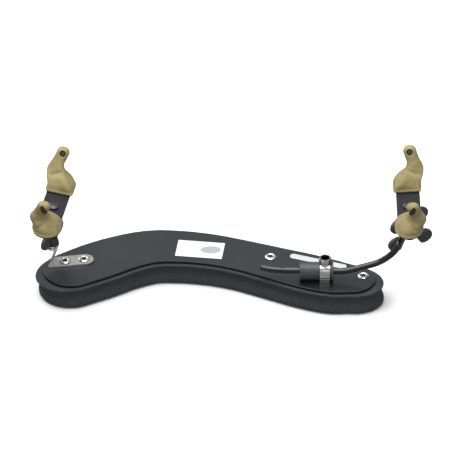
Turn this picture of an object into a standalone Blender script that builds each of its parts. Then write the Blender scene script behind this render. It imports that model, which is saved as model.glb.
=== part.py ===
"""Violin shoulder rest: a curved plate on a foam pad, with an adjustable hooked fork at each end.

X runs along the rest, from the fixed fork (-X) to the sliding fork (+X). Y points away from the
player and Z up. The origin is on the underside of the foam pad, below the middle of the plate.
Dimensions are in millimetres until MM turns them into metres.
"""

import math

import bmesh
import bpy
from mathutils import Matrix, Vector

MM = 0.001
GAP = 0.3
COLLECTION_NAME = "violin_shoulder_rest"
CUTTER_COLLECTION_NAME = "cutters"

# Plate and pad
FOAM_TOP = 15.7
PLATE_BOTTOM = FOAM_TOP + GAP
PLATE_THICKNESS = 2.0
PLATE_TOP = PLATE_BOTTOM + PLATE_THICKNESS
# Centreline of the plate from the fixed end to the sliding end: x, y and half width
PLATE_SPINE = [
    (-95.5, -24.5, 20.0), (-77.4, -13.5, 21.0), (-60.0, -3.8, 20.2), (-41.0, 3.1, 19.3),
    (-21.6, 3.3, 18.6), (-0.2, -0.1, 17.8), (21.9, -7.0, 17.3), (45.0, -16.6, 18.4),
    (67.0, -26.0, 19.6), (85.0, -33.0, 18.8), (98.0, -35.5, 16.0),
]
FOAM_SIDE_OVERHANG = 2.0
FOAM_END_OVERHANG = 4.0
# Height above the floor, how far the foam's side stands out from its widest line, and how much
# further in its fixed end is
FOAM_SIDE = [(0.0, -1.6, -3.4), (0.6, -0.5, -3.2), (1.8, 0.2, -3.0), (4.5, 0.0, -2.8),
             (9.0, -1.6, -2.0), (12.8, -0.8, -0.6), (14.8, 0.0, 0.0), (FOAM_TOP, -0.2, 0.0)]

# Eyelets
EYELET_FLANGE_RADIUS = 3.9
EYELET_TUBE_RADIUS = 2.5
EYELET_BORE_RADIUS = 1.75
EYELET_FLANGE_THICKNESS = 0.8
EYELET_HOLE_RADIUS = EYELET_TUBE_RADIUS + GAP

# Fixed fork's bracket. The foot's frame is at its outer eyelet; the upright's frame is in the
# middle of the fold line and turned with the fork
BRACKET_FOOT_ORIGIN = (-100.3, -16.9)
BRACKET_FOOT_TURN = math.radians(9.2)
BRACKET_FOOT_END = 20.0
BRACKET_EYELETS = (0.0, 13.3)
BRACKET_FOLD_ORIGIN = (-110.3, -16.5)
BRACKET_WIDTH = 11.4
BRACKET_THICKNESS = 1.1
BRACKET_BEND_RADIUS = 1.2
LUG_INNER_REACH = 4.5
LUG_OUTER_REACH = 7.0

# Where each stud's axis crosses the lug or eye that holds it, and how stud and fork are set
LEFT_STUD_POINT = (-109.2, -16.0, PLATE_TOP + 14.4)
LEFT_STUD_LEAN = math.radians(3.5)
LEFT_STUD_DROP = 3.4
LEFT_NUT_TURN = math.radians(78.0)
LEFT_FORK_TURN = math.radians(-9.5)
LEFT_FORK_LEAN = math.radians(4.5)
LEFT_FORK_TILT = math.radians(-1.7)
LEFT_FORK_HEIGHT = 45.7
RIGHT_STUD_POINT = (137.6, -17.6, PLATE_TOP + 28.0)
RIGHT_STUD_LEAN = math.radians(-3.5)
RIGHT_STUD_DROP = 6.4
RIGHT_UPPER_NUT_TURN = math.radians(40.0)
RIGHT_LOWER_NUT_TURN = math.radians(25.0)
RIGHT_FORK_TURN = 0.0
RIGHT_FORK_HEIGHT = 47.0

# Studs and nuts
STUD_RADIUS = 2.4
STUD_HEAD_RADIUS = 4.0
STUD_HEAD_HEIGHT = 1.7
STUD_HEAD_RIM = 0.4
STUD_NECK_RADIUS = 1.9
STUD_COLLAR_RADIUS = 3.8
STUD_COLLAR_HEIGHT = 1.2
LUG_HOLE_RADIUS = STUD_RADIUS + 0.4
WASHER_RADIUS = 5.2
WASHER_THICKNESS = 0.8
WING_HUB_RADIUS = 5.0
WING_HUB_HEIGHT = 4.6
WING_LOBE_RADIUS = 6.8
WING_LOBE_HALF_HEIGHT = 5.4
WING_LOBE_REACH = 10.1
WING_LOBE_HEIGHT = 6.7
WING_THICKNESS = 3.6
WING_ROOT_REACH = 3.3
WING_ROOT_LOW = 0.9
WING_ROOT_DROP = 1.2
WING_LOBE_SWEEP = 220.0
WING_EDGE_ROUND = 0.8
WING_HUB_TAPER = 1.1
WING_HUB_FOOT_HEIGHT = 0.6
WING_HUB_FOOT_INSET = 0.4

# Fork strips and their rubber boots
FORK_WIDTH = 16.4
FORK_THICKNESS = 1.5
FORK_HALF_LENGTH = 37.6
FORK_PLAY = 0.6
BOOT_INNER_FACE = 16.4
PRONG_WIDTH = 5.6
PRONG_THICKNESS = 1.5
PRONG_HEIGHT = 13.6
PRONG_OUTWARD = 4.4
PRONG_ALONG = 13.0
# Sections of a boot from its base to its tip. Height; centre and half width away from the
# violin; centre, depth towards the stud and depth away from it, measured from the inner face;
# how far the section slants; how square its inner side is
BOOT_SECTIONS = [
    (0.0, -0.3, 9.5, 11.0, 11.0, 12.2, 0.0, 3.0),
    (0.9, -0.3, 9.7, 11.0, 11.2, 12.4, 0.0, 3.0),
    (1.8, -0.3, 9.4, 11.0, 10.8, 12.0, 0.0, 2.6),
    (4.8, 0.7, 8.8, 11.0, 9.8, 11.4, 0.1, 1.4),
    (7.8, 2.8, 8.3, 11.2, 8.0, 9.9, 0.2, 0.6),
    (10.2, 4.4, 7.4, 12.0, 6.6, 8.0, 0.3, 0.2),
    (12.9, 5.1, 5.9, 13.4, 5.4, 6.2, 0.35, 0.1),
    (15.8, 5.0, 4.6, 14.6, 4.7, 5.0, 0.25, 0.0),
    (18.8, 3.9, 4.5, 16.4, 4.4, 4.5, 0.1, 0.0),
    (22.4, 2.8, 4.6, 18.0, 4.2, 4.2, 0.0, 0.0),
    (24.8, 2.8, 3.5, 18.5, 3.1, 3.1, 0.0, 0.0),
    (25.9, 2.8, 1.5, 18.6, 1.4, 1.4, 0.0, 0.0),
]
BOOT_RING_POINTS = 22

# Sliding rod and its clamp. The rod's frame is inside the sleeve, with X along the rod
ROD_RADIUS = 2.35
ROD_AXIS_HEIGHT = PLATE_TOP + 7.0
ROD_ORIGIN = (74.3, -36.6, ROD_AXIS_HEIGHT)
ROD_TURN = math.radians(-1.5)
# The rod's route from its free end to its eye: x, y and height above the floor
ROD_ROUTE = [
    (35.2, -32.4, 25.0), (38.6, -33.9, 25.0), (43.0, -35.1, 25.0), (48.0, -35.8, 25.0),
    (54.0, -36.07, 25.0), (74.3, -36.6, 25.0), (90.0, -37.01, 25.0), (94.5, -37.0, 25.5),
    (98.8, -36.8, 26.4), (103.0, -36.5, 27.5), (107.0, -36.2, 28.6), (111.0, -35.9, 29.7),
    (115.3, -35.7, 31.2), (119.5, -35.5, 33.6), (123.4, -35.4, 36.8), (126.6, -35.3, 40.2),
    (128.6, -35.0, 43.2), (129.7, -33.3, 45.4), (131.3, -29.9, 45.7), (133.6, -25.0, 45.7),
]
EYE_RADIUS = 6.2
EYE_THICKNESS = 2.6
EYE_WEB_OVERLAP = 1.5
EYE_WEB_HALF_WIDTH = 2.2
EYE_WEB_INSET = 0.1
SLEEVE_LOW_END = -12.4
SLEEVE_HIGH_END = 10.6
SLEEVE_RADIUS = 6.2
SLEEVE_FLANGE_RADIUS = 6.65
SLEEVE_FLANGE_LENGTH = 1.2
SLEEVE_BORE_RADIUS = ROD_RADIUS + 0.4
BAND_START = 1.5
BAND_END = 8.3
BAND_INNER_RADIUS = SLEEVE_RADIUS + GAP
BAND_THICKNESS = 0.9
BAND_LEG_END = FOAM_TOP - 1.4
BAND_WRAP_ANGLE = math.radians(42.0)
BOSS_ROOT_DEPTH = 2.0
SLEEVE_ROOM_OVERSHOOT = 4.0
BOSS_RADIUS = 4.4
BOSS_TOP = 8.1
SCREW_HEAD_RADIUS = 4.4
SCREW_HEAD_HEIGHT = 2.8
SCREW_SHANK_RADIUS = 1.9
SCREW_SOCKET_RADIUS = 3.3
SCREW_SOCKET_DEPTH = 2.0
RIGHT_EYELETS = {"right_eyelet_inner": (42.0, -10.2), "right_eyelet_outer": (105.8, -33.0)}
ANCHOR_THICKNESS = 1.2
ANCHOR_END_RADIUS = 6.0
ANCHOR_MIDDLE_RADIUS = 11.5

# Stickers: centre, size along and across, corner radius, turn
LABEL_GAP = 0.05
LABEL_THICKNESS = 0.15
LABELS = {
    "name_label": ((-6.9, -1.4), 32.6, 19.0, 0.4, math.radians(-7.2)),
    "size_label": ((75.0, -15.6), 41.0, 5.4, 2.4, math.radians(-20.0)),
}

ROUND_STEPS = 24
SMALL_ROUND_STEPS = 16


# ---------------------------------------------------------------- scene and materials

def clear_scene():
    for old_object in list(bpy.data.objects):
        bpy.data.objects.remove(old_object, do_unlink=True)


def new_collection(name):
    collection = bpy.data.collections.new(name)
    bpy.context.scene.collection.children.link(collection)
    return collection


def new_material(name, colour, roughness, metallic=0.0):
    material = bpy.data.materials.new(name)
    material.use_nodes = True
    shader = material.node_tree.nodes["Principled BSDF"]
    shader.inputs["Base Color"].default_value = (*colour, 1.0)
    shader.inputs["Roughness"].default_value = roughness
    shader.inputs["Metallic"].default_value = metallic
    return material


def make_materials():
    return {
        "plate_paint": new_material("plate_paint", (0.105, 0.125, 0.14), 0.35),
        "foam": new_material("foam", (0.028, 0.03, 0.032), 0.95),
        "nickel": new_material("nickel", (0.62, 0.61, 0.58), 0.3, 1.0),
        "chrome": new_material("chrome", (0.75, 0.75, 0.75), 0.12, 1.0),
        "black_steel": new_material("black_steel", (0.03, 0.035, 0.045), 0.35, 0.6),
        "black_plastic": new_material("black_plastic", (0.022, 0.024, 0.028), 0.4),
        "tan_rubber": new_material("tan_rubber", (0.42, 0.34, 0.17), 0.6),
        "label_white": new_material("label_white", (0.8, 0.82, 0.82), 0.45),
    }


# ---------------------------------------------------------------- frames

def place(point, turn=0.0, lean=0.0):
    """Frame at a point in millimetres, turned about Z and then leaned about its own Y."""
    turn_matrix = Matrix.Rotation(turn, 4, "Z")
    lean_matrix = Matrix.Rotation(lean, 4, "Y")
    return Matrix.Translation(Vector(point) * MM) @ turn_matrix @ lean_matrix


def shifted(frame, offset):
    return frame @ Matrix.Translation(Vector(offset) * MM)


def new_empty(name, frame, collection):
    empty = bpy.data.objects.new(name, None)
    empty.matrix_world = frame
    collection.objects.link(empty)
    return empty


# ---------------------------------------------------------------- modelling helpers

def add_mesh_object(name, bm, frame, material, collection):
    """Turns a bmesh in millimetres into a placed object with outward faces."""
    bmesh.ops.scale(bm, vec=(MM, MM, MM), verts=bm.verts)
    bmesh.ops.recalc_face_normals(bm, faces=bm.faces)
    mesh = bpy.data.meshes.new(name)
    bm.to_mesh(mesh)
    bm.free()
    part = bpy.data.objects.new(name, mesh)
    part.matrix_world = frame
    if material is not None:
        mesh.materials.append(material)
    collection.objects.link(part)
    return part


def smooth(part, angle=math.radians(35.0)):
    part.data.shade_smooth()
    part.data.set_sharp_from_angle(angle=angle)
    return part


def loft(name, rings, frame, material, collection):
    """Closed body through rings of points that all have the same count."""
    bm = bmesh.new()
    ring_verts = [[bm.verts.new(point) for point in ring] for ring in rings]
    count = len(rings[0])
    for lower, upper in zip(ring_verts, ring_verts[1:]):
        for index in range(count):
            following = (index + 1) % count
            bm.faces.new((lower[index], lower[following], upper[following], upper[index]))
    bm.faces.new(ring_verts[0])
    bm.faces.new(ring_verts[-1])
    return smooth(add_mesh_object(name, bm, frame, material, collection))


def prism(name, outline, low, high, frame, material, collection):
    """Upright body between two heights over a flat outline of (x, y) points."""
    bm = bmesh.new()
    base = bm.faces.new([bm.verts.new((x, y, low)) for x, y in outline])
    raised = bmesh.ops.extrude_face_region(bm, geom=[base])
    top_verts = [item for item in raised["geom"] if isinstance(item, bmesh.types.BMVert)]
    bmesh.ops.translate(bm, vec=(0.0, 0.0, high - low), verts=top_verts)
    return add_mesh_object(name, bm, frame, material, collection)


def turned(name, profile, frame, material, collection, closed_profile, steps=ROUND_STEPS):
    """Turned body about the frame's Z axis from (radius, height) points, top to bottom."""
    bm = bmesh.new()
    points = [bm.verts.new((radius, 0.0, height)) for radius, height in profile]
    for start, end in zip(points, points[1:]):
        bm.edges.new((start, end))
    if closed_profile:
        bm.edges.new((points[-1], points[0]))
    bmesh.ops.scale(bm, vec=(MM, MM, MM), verts=bm.verts)
    mesh = bpy.data.meshes.new(name)
    bm.to_mesh(mesh)
    bm.free()
    part = bpy.data.objects.new(name, mesh)
    part.matrix_world = frame
    if material is not None:
        mesh.materials.append(material)
    collection.objects.link(part)
    screw = part.modifiers.new("turn", "SCREW")
    screw.axis = "Z"
    screw.angle = math.tau
    screw.steps = steps
    screw.render_steps = steps
    screw.use_merge_vertices = True
    screw.merge_threshold = 0.00001
    screw.use_smooth_shade = True
    return part


def cylinder_cutter(name, radius, low, high, frame, cutters, segments=ROUND_STEPS):
    bm = bmesh.new()
    bmesh.ops.create_cone(bm, cap_ends=True, segments=segments, radius1=radius,
                          radius2=radius, depth=high - low)
    bmesh.ops.translate(bm, vec=(0.0, 0.0, (low + high) / 2), verts=bm.verts)
    return as_cutter(add_mesh_object(name, bm, frame, None, cutters))


def box_cutter(name, low, high, frame, cutters):
    bm = bmesh.new()
    bmesh.ops.create_cube(bm, size=1.0)
    size = [top - bottom for bottom, top in zip(low, high)]
    middle = [(top + bottom) / 2 for bottom, top in zip(low, high)]
    bmesh.ops.scale(bm, vec=size, verts=bm.verts)
    bmesh.ops.translate(bm, vec=middle, verts=bm.verts)
    return as_cutter(add_mesh_object(name, bm, frame, None, cutters))


def as_cutter(tool):
    tool.hide_render = True
    tool.display_type = "WIRE"
    return tool


def boolean(part, tool, operation):
    modifier = part.modifiers.new(tool.name, "BOOLEAN")
    modifier.operation = operation
    modifier.solver = "EXACT"
    modifier.object = tool
    return part


def bevel(part, width, segments=2, angle=math.radians(40.0)):
    modifier = part.modifiers.new("rounded_edges", "BEVEL")
    modifier.width = width * MM
    modifier.segments = segments
    modifier.limit_method = "ANGLE"
    modifier.angle_limit = angle
    return part


# ---------------------------------------------------------------- curves

def catmull_rom(points, steps):
    """Points of a smooth curve through the given tuples, with steps intervals between each two."""
    padded = [points[0], *points, points[-1]]
    smooth_points = []
    for index in range(len(points) - 1):
        before, start, end, after = [Vector(p) for p in padded[index:index + 4]]
        for step in range(steps):
            t = step / steps
            smooth_points.append(0.5 * (
                2.0 * start + (end - before) * t
                + (2.0 * before - 5.0 * start + 4.0 * end - after) * t ** 2
                + (3.0 * start - before - 3.0 * end + after) * t ** 3))
    smooth_points.append(Vector(points[-1]))
    return smooth_points


def circle_points(centre, radius, count=ROUND_STEPS):
    return [(centre[0] + radius * math.cos(math.tau * index / count),
             centre[1] + radius * math.sin(math.tau * index / count))
            for index in range(count)]


def stadium_points(half_length, radius, arc_steps=10):
    """Outline of a strip along Y with round ends, centred on the origin."""
    points = []
    for end in (1, -1):
        for step in range(arc_steps + 1):
            angle = math.pi * step / arc_steps
            if end < 0:
                angle += math.pi
            points.append((radius * math.cos(angle),
                           end * (half_length - radius) + radius * math.sin(angle)))
    return points


def rounded_rectangle(length, width, radius, arc_steps=5):
    """Outline of a rectangle centred on the origin, with round corners."""
    outline = []
    for corner in range(4):
        x_side = 1 if corner in (0, 3) else -1
        y_side = 1 if corner in (0, 1) else -1
        centre = (x_side * (length / 2 - radius), y_side * (width / 2 - radius))
        for step in range(arc_steps + 1):
            angle = math.pi / 2 * (corner + step / arc_steps)
            outline.append((centre[0] + radius * math.cos(angle),
                            centre[1] + radius * math.sin(angle)))
    return outline


def plate_outline(side_margin, fixed_end_margin, sliding_end_margin):
    """Outline of the curved plate, grown by a margin along its sides and more at its ends."""
    spine = catmull_rom(PLATE_SPINE, 3)
    far_side = []
    near_side = []
    arcs = []
    for index, point in enumerate(spine):
        before = spine[max(index - 1, 0)]
        after = spine[min(index + 1, len(spine) - 1)]
        heading = math.atan2(after.y - before.y, after.x - before.x)
        reach = point.z + side_margin
        normal = Vector((-math.sin(heading), math.cos(heading)))
        far_side.append(point.xy + reach * normal)
        near_side.append(point.xy - reach * normal)
        if index in (0, len(spine) - 1):
            arcs.append((point.xy, heading, reach))
    return (far_side + end_arc(*arcs[1], sliding_end_margin, 1)
            + near_side[::-1] + end_arc(*arcs[0], fixed_end_margin, -1))


def end_arc(centre, heading, reach, stretch, direction, steps=12):
    """Round end of the outline, from one side of the spine to the other."""
    along = Vector((math.cos(heading), math.sin(heading))) * direction
    across = Vector((-math.sin(heading), math.cos(heading))) * direction
    arc = []
    for step in range(1, steps):
        angle = math.pi * step / steps
        arc.append(centre + across * (reach * math.cos(angle))
                   + along * ((reach + stretch) * math.sin(angle)))
    return arc


# ---------------------------------------------------------------- plate, pad, labels

def make_plate(kit):
    outline = plate_outline(0.0, 0.0, 0.0)
    plate = prism("base_plate", outline, PLATE_BOTTOM, PLATE_TOP, Matrix.Identity(4),
                  kit["materials"]["plate_paint"], kit["parts"])
    bevel(plate, 0.4, 1)
    for name, frame in eyelet_frames().items():
        hole = cylinder_cutter(name + "_plate_hole", EYELET_HOLE_RADIUS, PLATE_BOTTOM - 1.0,
                               PLATE_TOP + 1.0, frame, kit["cutters"], SMALL_ROUND_STEPS)
        boolean(plate, hole, "DIFFERENCE")
    for slot in leg_slots("plate", PLATE_BOTTOM - 1.0, PLATE_TOP + 1.0, kit):
        boolean(plate, slot, "DIFFERENCE")
    return plate


def make_foam(kit):
    rings = []
    for height, inset, end_inset in FOAM_SIDE:
        outline = plate_outline(FOAM_SIDE_OVERHANG + inset, FOAM_END_OVERHANG + end_inset,
                                FOAM_END_OVERHANG)
        rings.append([(point.x, point.y, height) for point in outline])
    foam = loft("foam_pad", rings, Matrix.Identity(4), kit["materials"]["foam"], kit["parts"])
    for name, frame in eyelet_frames().items():
        pocket = cylinder_cutter(name + "_pocket", EYELET_FLANGE_RADIUS + 0.6, FOAM_TOP - 3.2,
                                 FOAM_TOP + 1.0, frame, kit["cutters"], SMALL_ROUND_STEPS)
        boolean(foam, pocket, "DIFFERENCE")
    pocket = anchor_body("anchor_pocket", 0.6, FOAM_TOP - 1.9, FOAM_TOP + 1.0, None,
                         kit["cutters"])
    boolean(foam, as_cutter(pocket), "DIFFERENCE")
    return foam


def make_labels(kit):
    for name, (centre, length, width, corner_radius, turn) in LABELS.items():
        outline = rounded_rectangle(length, width, corner_radius)
        frame = place((*centre, PLATE_TOP + LABEL_GAP), turn)
        prism(name, outline, 0.0, LABEL_THICKNESS, frame, kit["materials"]["label_white"],
              kit["parts"])


# ---------------------------------------------------------------- eyelets, anchor, bracket

def foot_frame():
    return place((*BRACKET_FOOT_ORIGIN, 0.0), BRACKET_FOOT_TURN)


def eyelet_frames():
    """Frames on the floor below each eyelet, by name."""
    frames = {}
    for name, along in zip(("left_eyelet_outer", "left_eyelet_inner"), BRACKET_EYELETS):
        frames[name] = shifted(foot_frame(), (along, 0.0, 0.0))
    for name, centre in RIGHT_EYELETS.items():
        frames[name] = place((*centre, 0.0))
    return frames


def make_eyelets(kit):
    for name, frame in eyelet_frames().items():
        if name.startswith("left"):
            top = PLATE_TOP + GAP + BRACKET_THICKNESS + GAP
            bottom = FOAM_TOP
        else:
            top = PLATE_TOP + GAP
            bottom = FOAM_TOP - ANCHOR_THICKNESS - GAP
        dome = top + EYELET_FLANGE_THICKNESS
        rim = bottom - EYELET_FLANGE_THICKNESS
        profile = [
            (EYELET_BORE_RADIUS, dome - 0.3), (EYELET_BORE_RADIUS + 0.5, dome),
            (EYELET_FLANGE_RADIUS - 0.9, dome), (EYELET_FLANGE_RADIUS, top + 0.2),
            (EYELET_FLANGE_RADIUS, top), (EYELET_TUBE_RADIUS, top),
            (EYELET_TUBE_RADIUS, bottom), (EYELET_FLANGE_RADIUS - 0.4, bottom),
            (EYELET_FLANGE_RADIUS - 0.4, rim), (EYELET_BORE_RADIUS, rim),
        ]
        turned(name, profile, frame, kit["materials"]["nickel"], kit["parts"], True,
               SMALL_ROUND_STEPS)


def anchor_body(name, margin, low, high, material, collection):
    """Plate with three round corners: one at each right eyelet and one under the clamp."""
    clamp_centre = shifted(rod_frame(), ((BAND_START + BAND_END) / 2, 0.0, 0.0)).translation / MM
    corners = [(centre, ANCHOR_END_RADIUS) for centre in RIGHT_EYELETS.values()]
    corners.append(((clamp_centre.x, clamp_centre.y), ANCHOR_MIDDLE_RADIUS))
    bm = bmesh.new()
    for centre, radius in corners:
        for x, y in circle_points(centre, radius + margin):
            bm.verts.new((x, y, low))
            bm.verts.new((x, y, high))
    hull = bmesh.ops.convex_hull(bm, input=bm.verts)
    inner = [item for item in hull["geom_interior"] if isinstance(item, bmesh.types.BMVert)]
    bmesh.ops.delete(bm, geom=inner, context="VERTS")
    return add_mesh_object(name, bm, Matrix.Identity(4), material, collection)


def make_anchor(kit):
    anchor = anchor_body("anchor_plate", 0.0, FOAM_TOP - ANCHOR_THICKNESS, FOAM_TOP,
                         kit["materials"]["nickel"], kit["parts"])
    for name, centre in RIGHT_EYELETS.items():
        hole = cylinder_cutter(name + "_anchor_hole", EYELET_HOLE_RADIUS, FOAM_TOP - 3.0,
                               FOAM_TOP + 1.0, place((*centre, 0.0)), kit["cutters"],
                               SMALL_ROUND_STEPS)
        boolean(anchor, hole, "DIFFERENCE")
    for slot in leg_slots("anchor", FOAM_TOP - 3.0, FOAM_TOP + 1.0, kit):
        boolean(anchor, slot, "DIFFERENCE")


def folded_strip(name, side_view, width, thickness, frame, material, collection):
    """Sheet-metal strip from its side view, (x, z) points of its middle surface."""
    bm = bmesh.new()
    front = [bm.verts.new((x, -width / 2, z)) for x, z in side_view]
    edges = [bm.edges.new(pair) for pair in zip(front, front[1:])]
    raised = bmesh.ops.extrude_edge_only(bm, edges=edges)
    moved = [item for item in raised["geom"] if isinstance(item, bmesh.types.BMVert)]
    bmesh.ops.translate(bm, vec=(0.0, width, 0.0), verts=moved)
    strip = add_mesh_object(name, bm, frame, material, collection)
    solidify = strip.modifiers.new("sheet", "SOLIDIFY")
    solidify.thickness = thickness * MM
    solidify.offset = 0.0
    solidify.use_even_offset = True
    return strip


def rounded_path(corners, radius, steps=5):
    """Open path through 2D corners, each inner corner replaced by an arc."""
    path = [Vector(corners[0])]
    for before, corner, after in zip(corners, corners[1:], corners[2:]):
        corner = Vector(corner)
        into = (Vector(before) - corner).normalized()
        out = (Vector(after) - corner).normalized()
        half_angle = into.angle(out) / 2
        setback = radius / math.tan(half_angle)
        centre = corner + (into + out).normalized() * (radius / math.sin(half_angle))
        first = corner + into * setback - centre
        last = corner + out * setback - centre
        for step in range(steps + 1):
            blend = first.lerp(last, step / steps).normalized() * radius
            path.append(centre + blend)
    path.append(Vector(corners[-1]))
    return path


def make_bracket(kit):
    """Foot on the plate, a leaning upright and a lug square to the stud, cut from one fold."""
    fold_frame = place((*BRACKET_FOLD_ORIGIN, 0.0), LEFT_FORK_TURN)
    middle = PLATE_TOP + GAP + BRACKET_THICKNESS / 2
    stud = fold_frame.inverted() @ (Vector(LEFT_STUD_POINT) * MM) / MM
    slope = math.tan(LEFT_STUD_LEAN)
    side_view = rounded_path([
        (BRACKET_FOOT_END + 14.0, middle), (0.0, middle),
        (stud.x + LUG_INNER_REACH, stud.z - slope * LUG_INNER_REACH),
        (stud.x - LUG_OUTER_REACH, stud.z + slope * LUG_OUTER_REACH),
    ], BRACKET_BEND_RADIUS)
    bracket = folded_strip("left_bracket", side_view, 4 * BRACKET_WIDTH, BRACKET_THICKNESS,
                           fold_frame, kit["materials"]["nickel"], kit["parts"])
    half_width = BRACKET_WIDTH / 2
    foot_top = PLATE_TOP + GAP + BRACKET_THICKNESS + 0.6
    half_foot = (BRACKET_FOOT_END + 30.0) / 2
    foot_outline = [(BRACKET_FOOT_END - half_foot + along, across)
                    for across, along in stadium_points(half_foot, half_width)]
    keep = prism("bracket_foot_outline", foot_outline, PLATE_TOP - 2.0, foot_top, foot_frame(),
                 None, kit["cutters"])
    lug_end = [(stud.x + half_width * math.cos(math.radians(angle)),
                half_width * math.sin(math.radians(angle))) for angle in range(90, 271, 15)]
    past_fold = stud.x + BRACKET_WIDTH
    upright_outline = [*lug_end, (past_fold, -half_width), (past_fold, half_width)]
    upright = as_cutter(prism("bracket_upright_outline", upright_outline, foot_top - 0.3,
                              PLATE_TOP + 40.0, fold_frame, None, kit["cutters"]))
    boolean(as_cutter(keep), upright, "UNION")
    boolean(bracket, keep, "INTERSECT")
    for name in ("left_eyelet_outer", "left_eyelet_inner"):
        hole = cylinder_cutter(name + "_bracket_hole", EYELET_HOLE_RADIUS, PLATE_TOP - 1.0,
                               PLATE_TOP + 4.0, eyelet_frames()[name], kit["cutters"],
                               SMALL_ROUND_STEPS)
        boolean(bracket, hole, "DIFFERENCE")
    lug_hole = cylinder_cutter("lug_hole", LUG_HOLE_RADIUS, -3.0, 3.0, left_stud_frame(),
                               kit["cutters"], SMALL_ROUND_STEPS)
    boolean(bracket, lug_hole, "DIFFERENCE")


# ---------------------------------------------------------------- rod and clamp

def rod_frame():
    """Frame inside the sleeve, with X along the rod, which its ends are measured from."""
    return place(ROD_ORIGIN, ROD_TURN)


def along_rod(frame, offset):
    """Frame whose Z axis lies along the rod, moved by an offset along it."""
    return shifted(frame, (offset, 0.0, 0.0)) @ Matrix.Rotation(math.pi / 2, 4, "Y")


def leg_slots(owner, low, high, kit):
    """Cutters for the band's two legs."""
    slots = []
    for side in (-1, 1):
        middle = side * band_leg_offset()
        half = BAND_THICKNESS / 2 + GAP
        name = f"{owner}_leg_slot_{'near' if side < 0 else 'far'}"
        slots.append(box_cutter(
            name,
            (BAND_START - GAP, middle - half, low - ROD_AXIS_HEIGHT),
            (BAND_END + GAP, middle + half, high - ROD_AXIS_HEIGHT),
            rod_frame(), kit["cutters"]))
    return slots


def make_sleeve(kit):
    low, high = SLEEVE_LOW_END, SLEEVE_HIGH_END
    low_flange = low + SLEEVE_FLANGE_LENGTH
    high_flange = high - SLEEVE_FLANGE_LENGTH
    profile = [
        (SLEEVE_FLANGE_RADIUS, high), (SLEEVE_FLANGE_RADIUS, high_flange),
        (SLEEVE_RADIUS, high_flange), (SLEEVE_RADIUS, low_flange),
        (SLEEVE_FLANGE_RADIUS, low_flange), (SLEEVE_FLANGE_RADIUS, low),
        (SLEEVE_BORE_RADIUS, low), (SLEEVE_BORE_RADIUS, high),
    ]
    return turned("clamp_sleeve", profile, along_rod(rod_frame(), 0.0),
                  kit["materials"]["black_plastic"], kit["parts"], True)


def band_leg_offset():
    """Distance of each leg's middle from the rod's axis."""
    return (BAND_INNER_RADIUS + BAND_THICKNESS / 2) * math.cos(BAND_WRAP_ANGLE)


def band_side_view():
    """Middle of the band: up one leg, round the sleeve and down the other, as (y, z)."""
    radius = BAND_INNER_RADIUS + BAND_THICKNESS / 2
    leg_end = BAND_LEG_END - ROD_AXIS_HEIGHT
    sweep = math.pi + 2 * BAND_WRAP_ANGLE
    steps = 22
    arc = []
    for step in range(steps + 1):
        angle = sweep * step / steps - BAND_WRAP_ANGLE
        arc.append((radius * math.cos(angle), radius * math.sin(angle)))
    return [(band_leg_offset(), leg_end), *arc, (-band_leg_offset(), leg_end)]


def make_band(kit):
    # The folded strip's X and Y become the rod frame's Y and X
    side_view_turn = Matrix.Rotation(math.pi / 2, 4, "Z")
    frame = screw_frame() @ side_view_turn
    band = folded_strip("clamp_band", band_side_view(), BAND_END - BAND_START, BAND_THICKNESS,
                        frame, kit["materials"]["chrome"], kit["parts"])
    boss = cylinder_cutter("clamp_boss", BOSS_RADIUS, BAND_INNER_RADIUS - BOSS_ROOT_DEPTH,
                           BOSS_TOP, screw_frame(), kit["cutters"])
    boolean(band, boss, "UNION")
    under_boss = cylinder_cutter("sleeve_room", BAND_INNER_RADIUS,
                                 BAND_START - SLEEVE_ROOM_OVERSHOOT,
                                 BAND_END + SLEEVE_ROOM_OVERSHOOT,
                                 along_rod(rod_frame(), 0.0), kit["cutters"], 32)
    boolean(band, under_boss, "DIFFERENCE")
    hole = cylinder_cutter("boss_hole", SCREW_SHANK_RADIUS + GAP, 0.0, BOSS_TOP + 2.0,
                           screw_frame(), kit["cutters"], SMALL_ROUND_STEPS)
    boolean(band, hole, "DIFFERENCE")


def screw_frame():
    return shifted(rod_frame(), ((BAND_START + BAND_END) / 2, 0.0, 0.0))


def make_screw(kit):
    head_low = BOSS_TOP + GAP
    head_high = head_low + SCREW_HEAD_HEIGHT
    tip = SLEEVE_RADIUS + GAP
    profile = [
        (0.0, head_high), (SCREW_HEAD_RADIUS - 0.5, head_high), (SCREW_HEAD_RADIUS, head_high - 0.5),
        (SCREW_HEAD_RADIUS, head_low), (SCREW_SHANK_RADIUS, head_low), (SCREW_SHANK_RADIUS, tip),
        (0.0, tip),
    ]
    screw = turned("clamp_screw", profile, screw_frame(), kit["materials"]["chrome"],
                   kit["parts"], False)
    socket = cylinder_cutter("screw_socket", SCREW_SOCKET_RADIUS, head_high - SCREW_SOCKET_DEPTH,
                             head_high + 1.0, screw_frame(), kit["cutters"], 6)
    boolean(screw, socket, "DIFFERENCE")
    return screw


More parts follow.
